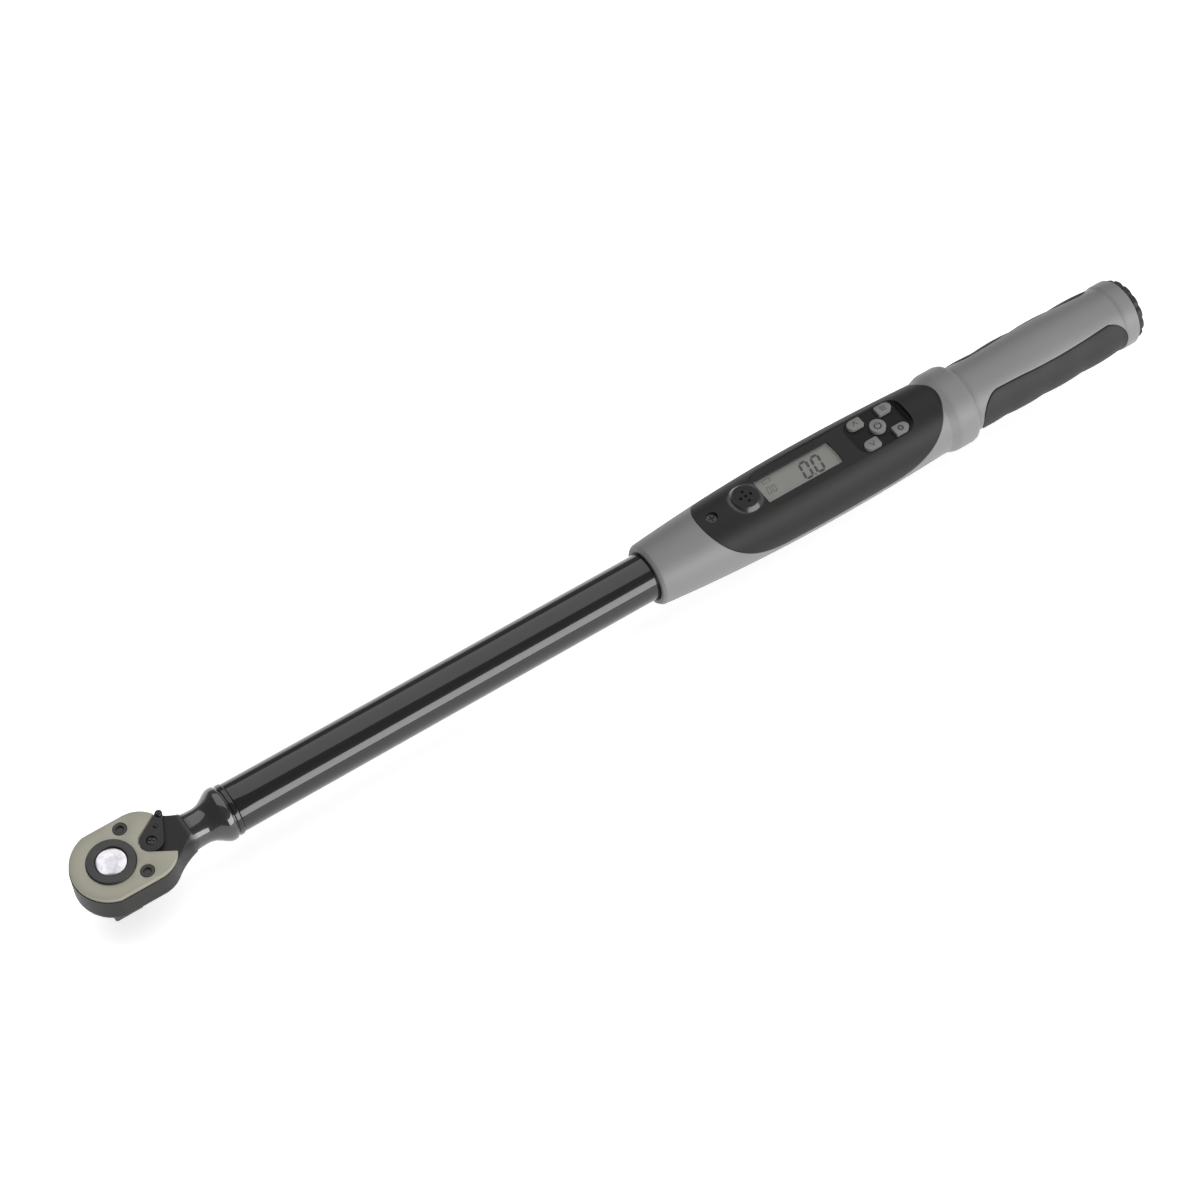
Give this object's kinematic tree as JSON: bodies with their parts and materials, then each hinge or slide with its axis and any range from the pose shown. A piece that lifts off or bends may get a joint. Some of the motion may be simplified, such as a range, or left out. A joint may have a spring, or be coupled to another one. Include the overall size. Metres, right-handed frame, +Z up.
{
  "type": "electronic torque wrench",
  "caption": "Half-inch electronic torque wrench: reversible ratchet head, round tube, display housing with keys, and a padded grip that holds the batteries.",
  "frame": {"origin": "centre of the drive square's end face, on the drive axis", "axes": "+X along the tube towards the battery cap, +Z up out of the display side along the drive axis, +Y to the left seen from the head towards the grip"},
  "size_m": [0.5351, 0.0374, 0.0427],
  "materials": {
    "forged_black": "satin black over a forging",
    "plate_metal": "bead-blasted matt",
    "black_screw": "black oxide",
    "drive_steel": "blackened, oiled",
    "bright_steel": "ground",
    "chrome": "polished",
    "lever_black": "satin black casting",
    "gauge_foil": "foil",
    "wire_sleeve": "flexible sleeve",
    "tube_black": "gloss black",
    "grey_plastic": "fine moulded texture",
    "charcoal_plastic": "satin moulded",
    "clear_lens": "clear",
    "display_grey": "reflective display",
    "board_green": "solder mask",
    "black_plastic": "moulded",
    "soft_rubber": "soft matt",
    "white_plastic": "moulded",
    "cell_jacket": "printed-film gloss",
    "contact_brass": "plain",
    "key_plastic": "satin moulded"
  },
  "bodies": {
    "handle": {"head_body": "forged_black", "face_plate": "plate_metal", "plate_screws": "black_screw", "thrust_washer": "bright_steel", "pawl_pin": "bright_steel", "torque_beam": "bright_steel", "beam_pins": "bright_steel", "strain_gauges": "gauge_foil", "gauge_wiring": "wire_sleeve", "tube": "tube_black", "tube_ring": "forged_black", "lower_housing": "grey_plastic", "housing_screws": "black_screw", "top_cover": "charcoal_plastic", "cover_screw": "bright_steel", "display_lens": "clear_lens", "lcd_module": "display_grey", "circuit_board": "board_green", "battery_wiring": "wire_sleeve", "buzzer": "black_plastic", "keypad_mat": "soft_rubber", "grip_body": "grey_plastic", "left_grip_insert": "soft_rubber", "right_grip_insert": "soft_rubber", "battery_sleeve": "white_plastic", "batteries": "cell_jacket", "front_contact": "contact_brass", "thread_bush": "bright_steel"},
    "drive": {"ratchet_anvil": "drive_steel", "release_spring": "bright_steel"},
    "release": {"release_button": "chrome", "release_pin": "bright_steel"},
    "ball": {"locking_ball": "chrome"},
    "lever": {"reversing_lever": "lever_black", "lever_screw": "black_screw", "lever_spindle": "bright_steel", "pawl_plunger": "bright_steel", "pawl_spring": "bright_steel"},
    "rocker": {"pawl": "bright_steel"},
    "centre_key_cap": {"centre_key": "key_plastic"},
    "upper_front_key_cap": {"upper_front_key": "key_plastic"},
    "lower_front_key_cap": {"lower_front_key": "key_plastic"},
    "upper_rear_key_cap": {"upper_rear_key": "key_plastic"},
    "lower_rear_key_cap": {"lower_rear_key": "key_plastic"},
    "cap_slider": {"cap_spring": "contact_brass"},
    "cap": {"battery_cap": "black_plastic", "cap_seal": "soft_rubber"}
  },
  "joints": [
    {"name": "drive_turn", "type": "hinge", "parent": "handle", "child": "drive", "pos_m": [0, 0, 0], "axis": [0, 0, 1], "continuous": true},
    {"name": "button_press", "type": "slide", "parent": "drive", "child": "release", "axis": [0, 0, -1], "range_m": [0, 0.0025], "stiffness_N_per_m": 500, "springref_m": -0.003, "deforming": ["release_spring"]},
    {"name": "ball_shift", "type": "slide", "parent": "drive", "child": "ball", "axis": [0, 1, 0], "range_m": [0, 0.0009]},
    {"name": "lever_swing", "type": "hinge", "parent": "handle", "child": "lever", "pos_m": [0.0179, 0, 0.031], "axis": [0, 0, 1], "range_deg": [-96, 0]},
    {"name": "pawl_rock", "type": "hinge", "parent": "handle", "child": "rocker", "pos_m": [0.0179, 0, 0.024], "axis": [0, 0, 1], "range_deg": [-0.5, 14.5]},
    {"name": "centre_key_press", "type": "slide", "parent": "handle", "child": "centre_key_cap", "axis": [0, 0, -1], "range_m": [0, 0.0006], "stiffness_N_per_m": 400, "springref_m": -0.001},
    {"name": "upper_front_key_press", "type": "slide", "parent": "handle", "child": "upper_front_key_cap", "axis": [0, 0, -1], "range_m": [0, 0.0006], "stiffness_N_per_m": 400, "springref_m": -0.001},
    {"name": "lower_front_key_press", "type": "slide", "parent": "handle", "child": "lower_front_key_cap", "axis": [0, 0, -1], "range_m": [0, 0.0006], "stiffness_N_per_m": 400, "springref_m": -0.001},
    {"name": "upper_rear_key_press", "type": "slide", "parent": "handle", "child": "upper_rear_key_cap", "axis": [0, 0, -1], "range_m": [0, 0.0006], "stiffness_N_per_m": 400, "springref_m": -0.001},
    {"name": "lower_rear_key_press", "type": "slide", "parent": "handle", "child": "lower_rear_key_cap", "axis": [0, 0, -1], "range_m": [0, 0.0006], "stiffness_N_per_m": 400, "springref_m": -0.001},
    {"name": "cap_travel", "type": "slide", "parent": "handle", "child": "cap_slider", "axis": [1, 0, 0], "range_m": [0, 0.0051]},
    {"name": "cap_turn", "type": "hinge", "parent": "cap_slider", "child": "cap", "pos_m": [0.514, 0, 0.024], "axis": [1, 0, 0], "range_deg": [0, 900]}
  ],
  "couplings": [
    {"joint": "ball_shift", "follows": "button_press", "ratio": 0.34},
    {"joint": "pawl_rock", "follows": "lever_swing", "ratio": -0.14583},
    {"joint": "cap_travel", "follows": "cap_turn", "m_per_rad": 0.00031831}
  ]
}
